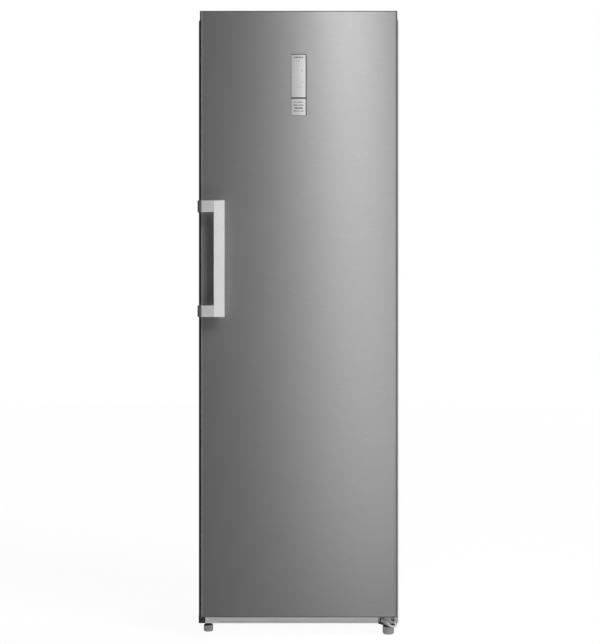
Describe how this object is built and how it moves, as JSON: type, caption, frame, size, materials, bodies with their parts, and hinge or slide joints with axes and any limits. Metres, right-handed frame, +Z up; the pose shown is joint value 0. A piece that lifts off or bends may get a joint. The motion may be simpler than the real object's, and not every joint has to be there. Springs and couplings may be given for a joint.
{
  "type": "upright freezer",
  "caption": "Upright single-door freezer: brushed steel door with a side-wrapped bar handle and a display strip, drawers and glass shelves inside, levelling feet and rear rollers.",
  "frame": {"origin": "on the floor, below the middle of the object's bounding box", "axes": "+X to the right as seen from the front, +Y from the door to the back, +Z up"},
  "size_m": [0.595, 0.687, 1.85],
  "materials": {
    "brushed_door_steel": "satin",
    "handle_metal": "satin",
    "cabinet_paint": "satin",
    "rear_sheet": "satin",
    "zinc_sheet": "satin",
    "bright_zinc": "gloss",
    "bright_steel": "polished",
    "bare_aluminium": "satin",
    "copper": "satin",
    "black_enamel": "gloss",
    "foam": "matte",
    "white_liner": "gloss",
    "white_cover": "satin",
    "trim_plastic": "satin",
    "toe_rail_plastic": "satin",
    "dark_plastic": "matte",
    "cap_plastic": "satin",
    "seal_rubber": "matte",
    "black_rubber": "matte",
    "bush_plastic": "satin",
    "foot_plastic": "satin",
    "roller_plastic": "satin",
    "fan_plastic": "satin",
    "frosted_lens": "satin",
    "shelf_glass": "gloss",
    "clear_drawer_plastic": "gloss",
    "drawer_front_plastic": "gloss",
    "display_dark": "gloss",
    "display_silver": "satin"
  },
  "bodies": {
    "cabinet": {"base_plate": "zinc_sheet", "bay_cover": "rear_sheet", "board_cover": "dark_plastic", "bottom_hinge_bracket": "bright_zinc", "bottom_hinge_pin": "bright_steel", "cabinet_screws": "bright_steel", "compressor": "black_enamel", "compressor_grommets": "black_rubber", "drain_pan": "dark_plastic", "evaporator_coil": "bare_aluminium", "evaporator_cover": "white_cover", "fan_motor": "dark_plastic", "filter_drier": "copper", "front_crossbar": "cabinet_paint", "glass_shelves": "shelf_glass", "inner_liner": "white_liner", "insulation_foam": "foam", "lamp_lens": "frosted_lens", "outer_shell": "cabinet_paint", "power_inlet": "dark_plastic", "rear_panel": "rear_sheet", "refrigerant_tubes": "copper", "roller_axles": "bright_steel", "roller_brackets": "zinc_sheet", "shelf_rails": "white_liner", "shelf_trims": "trim_plastic", "starter_box": "dark_plastic", "toe_corner_cap": "dark_plastic", "toe_rail": "toe_rail_plastic", "top_hinge_bracket": "zinc_sheet", "top_hinge_cover": "dark_plastic", "top_hinge_pin": "bright_steel"},
    "door": {"display_housing": "display_dark", "display_label_plate": "display_silver", "display_panel": "display_silver", "door_bottom_cap": "cap_plastic", "door_foam": "foam", "door_gasket": "seal_rubber", "door_liner": "white_liner", "door_skin": "brushed_door_steel", "door_top_cap": "cap_plastic", "handle_arms": "handle_metal", "handle_bar": "handle_metal", "handle_screws": "bright_steel", "hinge_bushes": "bush_plastic"},
    "drawer_1": {"drawer_1_bin": "clear_drawer_plastic", "drawer_1_front": "drawer_front_plastic"},
    "drawer_2": {"drawer_2_bin": "clear_drawer_plastic", "drawer_2_front": "drawer_front_plastic"},
    "drawer_3": {"drawer_3_bin": "clear_drawer_plastic", "drawer_3_front": "drawer_front_plastic"},
    "drawer_4": {"drawer_4_bin": "clear_drawer_plastic", "drawer_4_front": "drawer_front_plastic"},
    "drawer_5": {"drawer_5_bin": "clear_drawer_plastic", "drawer_5_front": "drawer_front_plastic"},
    "evaporator_fan_body": {"evaporator_fan": "fan_plastic"},
    "roller_left_body": {"roller_left": "roller_plastic"},
    "roller_right_body": {"roller_right": "roller_plastic"},
    "foot_left_body": {"foot_left": "foot_plastic"},
    "foot_right_body": {"foot_right": "foot_plastic"}
  },
  "joints": [
    {"name": "door_swing", "type": "hinge", "parent": "cabinet", "child": "door", "pos_m": [0.2825, -0.2765, 0.95], "axis": [0, 0, 1], "range_deg": [0, 120]},
    {"name": "drawer_1_slide", "type": "slide", "parent": "cabinet", "child": "drawer_1", "axis": [0, -1, 0], "range_m": [0, 0.1844]},
    {"name": "drawer_2_slide", "type": "slide", "parent": "cabinet", "child": "drawer_2", "axis": [0, -1, 0], "range_m": [0, 0.1844]},
    {"name": "drawer_3_slide", "type": "slide", "parent": "cabinet", "child": "drawer_3", "axis": [0, -1, 0], "range_m": [0, 0.1844]},
    {"name": "drawer_4_slide", "type": "slide", "parent": "cabinet", "child": "drawer_4", "axis": [0, -1, 0], "range_m": [0, 0.1844]},
    {"name": "drawer_5_slide", "type": "slide", "parent": "cabinet", "child": "drawer_5", "axis": [0, -1, 0], "range_m": [0, 0.1844]},
    {"name": "fan_spin", "type": "hinge", "parent": "cabinet", "child": "evaporator_fan_body", "pos_m": [0, 0.24, 0.728], "axis": [0, 1, 0], "continuous": true},
    {"name": "roller_left_roll", "type": "hinge", "parent": "cabinet", "child": "roller_left_body", "pos_m": [-0.25, 0.3005, 0.015], "axis": [1, 0, 0], "continuous": true},
    {"name": "roller_right_roll", "type": "hinge", "parent": "cabinet", "child": "roller_right_body", "pos_m": [0.25, 0.3005, 0.015], "axis": [1, 0, 0], "continuous": true},
    {"name": "foot_left_turn", "type": "hinge", "parent": "cabinet", "child": "foot_left_body", "pos_m": [-0.2727, -0.1575, 0.02], "axis": [0, 0, 1], "continuous": true},
    {"name": "foot_right_turn", "type": "hinge", "parent": "cabinet", "child": "foot_right_body", "pos_m": [0.2687, -0.2065, 0.02], "axis": [0, 0, 1], "continuous": true}
  ],
  "couplings": [
    {"joint": "drawer_1_slide", "follows": "door_swing", "m_per_rad": 0.088},
    {"joint": "drawer_2_slide", "follows": "door_swing", "m_per_rad": 0.088},
    {"joint": "drawer_3_slide", "follows": "door_swing", "m_per_rad": 0.088},
    {"joint": "drawer_4_slide", "follows": "door_swing", "m_per_rad": 0.088},
    {"joint": "drawer_5_slide", "follows": "door_swing", "m_per_rad": 0.088}
  ]
}
